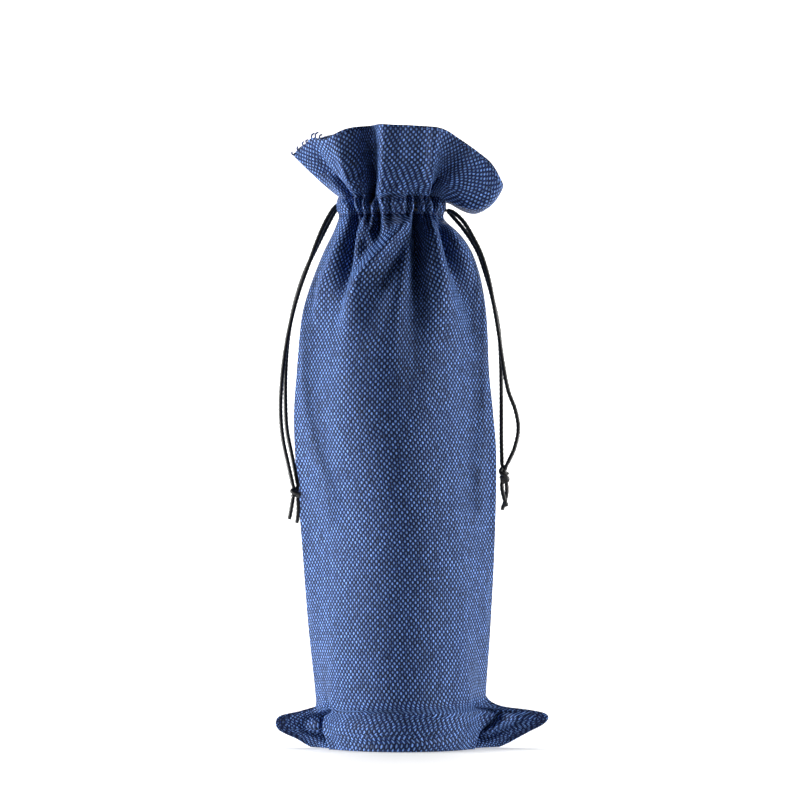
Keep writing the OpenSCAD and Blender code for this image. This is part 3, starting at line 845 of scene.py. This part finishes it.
# ---------------------------------------------------------------------------------------------------
# Stitching: two rows round the mouth, at the channel's lower and upper edge. Each stitch is a short
# length of thread that dips into the cloth at both ends.
# ---------------------------------------------------------------------------------------------------
thread_d = 0.00042
thread_sides = 6
stitch_l = 0.0026
stitch_out, stitch_sunk = 0.00012, 0.0005
row_points = 1200
thread_blue, tree, surface = shader("blue_sewing_thread")
surface.inputs["Base Color"].default_value = (0.03, 0.06, 0.2, 1)
surface.inputs["Roughness"].default_value = 0.5
surface.inputs["Sheen Weight"].default_value = 0.2
for side, side_name in halves:
    for row_name, row_z in (("lower", stitch_low + 0.0003), ("upper", stitch_high)):
        rise = channel_share * (row_z - stitch_low) / (casing_top - stitch_low)
        share = np.linspace(0.02, 0.98, row_points)[None, :]
        x, y, z = mouth_points(share, share * 0 + rise, side)[:3]
        nx, ny = normals_in_plan(x, y * -side)[:2]
        line = np.stack([x[0], y[0], z[0]], axis=1)
        out = np.stack([nx[0], ny[0] * -side, 0 * nx[0]], axis=1)
        length = lengths_along(line)
        bm = bmesh.new()
        for k in range(int(length[-1] / stitch_l)):
            rings = []
            # Each ring's place along its stitch, and how far it is from the stitch's middle to its end.
            for along, t in ((0.1, -1), (0.3, -0.3), (0.5, 0), (0.7, 0.3), (0.9, 1)):
                i = int(np.interp(k * stitch_l + stitch_l * along, length, np.arange(row_points)))
                ahead = Vector(line[min(i + 2, row_points - 1)] - line[max(i - 2, 0)]).normalized()
                turn = ahead.to_track_quat("Z", "Y").to_matrix().to_4x4()
                turn.translation = Vector(line[i] + out[i] * (stitch_out - stitch_sunk * abs(t) ** 3))
                made = bmesh.ops.create_circle(bm, segments=thread_sides, cap_ends=abs(t) == 1,
                                               radius=thread_d / 2 * (1 - 0.3 * abs(t)))
                bmesh.ops.transform(bm, matrix=turn, verts=made["verts"])
                rings.append(made["verts"])
            for lower, upper in zip(rings, rings[1:]):
                for j in range(thread_sides):
                    n = (j + 1) % thread_sides
                    bmesh.ops.contextual_create(bm, geom=[lower[j], lower[n], upper[n], upper[j]])
        bmesh.ops.recalc_face_normals(bm, faces=bm.faces[:])
        row = into_scene(side_name + "_" + row_name + "_stitches", bm)
        row.data.polygons.foreach_set("use_smooth", [True] * len(row.data.polygons))
        row.data.materials.append(thread_blue)
        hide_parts(side_name + "_" + row_name + "_stitching")
        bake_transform(row)

# ---------------------------------------------------------------------------------------------------
# Cords in the channel: each drawcord goes in at the slot on its own side, lies between the channel's two
# plies in front and behind, and so runs round the far side of the neck.
# ---------------------------------------------------------------------------------------------------
run_inset = 0.0038
run_apart = 0.0016
# Each cord's name, its height in the channel, its slot's x, and the side that the slot is on.
for cord_name, cord_z, slot_x, way in (("left", 0.2645, -0.0282, -1), ("right", 0.2615, 0.0224, 1)):
    for side, side_name in halves:
        a = np.linspace(0, math.pi, 40)[::-way]
        x, y = body_outline(a * 0 + casing_z, a)
        half_w, half_d = (x.max() - x.min()) / 2, y.max()
        x = neck_x + (x - (x.max() + x.min()) / 2) * (1 - run_inset / half_w)
        y = np.maximum(np.abs(y) * (1 - run_inset / half_d), run_apart)
        route = [(x[i], side * y[i], cord_z) for i in range(2, 37, 2)]
        route.append((slot_x, side * run_apart, cord_z))
        run_name = cord_name + "_cord_" + side_name + "_run"
        run = rope(run_name + "_rope", smooth_line(route, 2 * rope_step), cord_d)
        run.data.materials.append(cord_black)
        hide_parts(run_name)
        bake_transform(run)

# ---------------------------------------------------------------------------------------------------
# Loose threads: yarn ends of two plies that fray out of the ruffle's cut corner at the left and curl.
# Each is set through three points in millimetres, the first one in the cloth.
# ---------------------------------------------------------------------------------------------------
fray_d = 0.0009
frays = [[(-51.6, -3.4, 288), (-52.6, -4, 288.8), (-52.4, -4.6, 289.8)],
         [(-49, -6.4, 290), (-50, -7, 291), (-49.6, -7.4, 292.2)],
         [(-46.4, -9.8, 291.8), (-47.4, -10.4, 293.4), (-46.6, -10.8, 294.4)],
         [(-45, -11.6, 292.8), (-45.6, -12, 294.6), (-44.4, -12.4, 295.2)],
         [(-42.6, -14.6, 294.6), (-42.8, -15, 297), (-41.4, -15.2, 298.2)],
         [(-41, -16.6, 295), (-40.8, -16.8, 297.6), (-39.4, -17, 298.6)],
         [(-39.2, -18.4, 295), (-38.6, -18.6, 297), (-37.4, -18.6, 297.2)]]
fray_lines = [smooth_line(np.array(fray) * MM, 0.0003) for fray in frays]
fray_parts = [rope("fray", line, fray_d, sides=6, plies=2, ridge=0.12, pitch=0.002) for line in fray_lines]
tuft = joined("frayed_yarn_ends", fray_parts)
tuft.data.materials.append(thread_blue)
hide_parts("loose_threads")
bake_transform(tuft)

# ---------------------------------------------------------------------------------------------------
# Studio: a pale sweep that curves up behind the bag, a soft box square to each side of it, the left one
# the stronger, and a broad soft light over the sweep behind it. The world is pale to the camera alone.
# ---------------------------------------------------------------------------------------------------
sweep_w, sweep_l, sweep_front = 3, 5.5, -0.38
sweep_start, sweep_bend = 1.6, 0.8
sweep_below = 0.0002
bm = bmesh.new()
bmesh.ops.create_grid(bm, x_segments=1, y_segments=60, size=0.5)
for v in bm.verts:
    along = (v.co.y + 0.5) * sweep_l + sweep_front
    turn = min(max((along - sweep_start) / sweep_bend, 0), math.pi / 2)
    over = max(along - sweep_start - sweep_bend * math.pi / 2, 0)
    v.co = Vector((v.co.x * sweep_w, min(along, sweep_start) + sweep_bend * math.sin(turn),
                   sweep_bend * (1 - math.cos(turn)) + over - sweep_below))
sweep = into_scene("sweep", bm)
sweep.data.polygons.foreach_set("use_smooth", [True] * len(sweep.data.polygons))
pale, tree, surface = shader("pale_sweep")
surface.inputs["Base Color"].default_value = (0.85, 0.85, 0.85, 1)
surface.inputs["Roughness"].default_value = 0.95
surface.inputs["Emission Color"].default_value = (1, 1, 1, 1)
surface.inputs["Emission Strength"].default_value = 0.32
sweep.data.materials.append(pale)

seen_pale, cast_pale = 0.96, 0.02
world = bpy.data.worlds.new("studio")
bpy.context.scene.world = world
world.use_nodes = True
world.node_tree.nodes["Background"].inputs["Color"].default_value = (1, 1, 1, 1)
path = world.node_tree.nodes.new("ShaderNodeLightPath")
seen = world.node_tree.nodes.new("ShaderNodeMath")
seen.operation = "MULTIPLY_ADD"
seen.inputs[1].default_value = seen_pale
seen.inputs[2].default_value = cast_pale
world.node_tree.links.new(path.outputs["Is Camera Ray"], seen.inputs[0])
world.node_tree.links.new(seen.outputs["Value"], world.node_tree.nodes["Background"].inputs["Strength"])


def soft_box(name, place, aim, size, power):
    """A rectangular light that faces its aim."""
    light = bpy.data.lights.new(name, "AREA")
    light.shape = "RECTANGLE"
    light.size, light.size_y = size
    light.energy = power
    lamp = bpy.data.objects.new(name, light)
    lamp.location = place
    lamp.rotation_euler = (Vector(aim) - Vector(place)).to_track_quat("-Z", "Y").to_euler()
    bpy.context.scene.collection.objects.link(lamp)


soft_box("left_soft_box", (-1.2, -0.08, 0.26), (0, 0, 0.15), (0.6, 0.5), 27)
soft_box("right_soft_box", (1.2, -0.08, 0.26), (0, 0, 0.15), (0.6, 0.5), 16)
soft_box("overhead_soft_box", (0, 1.8, 1.9), (0, 1.7, 0), (2.4, 1.6), 75)
bpy.context.scene.view_settings.view_transform = "Standard"
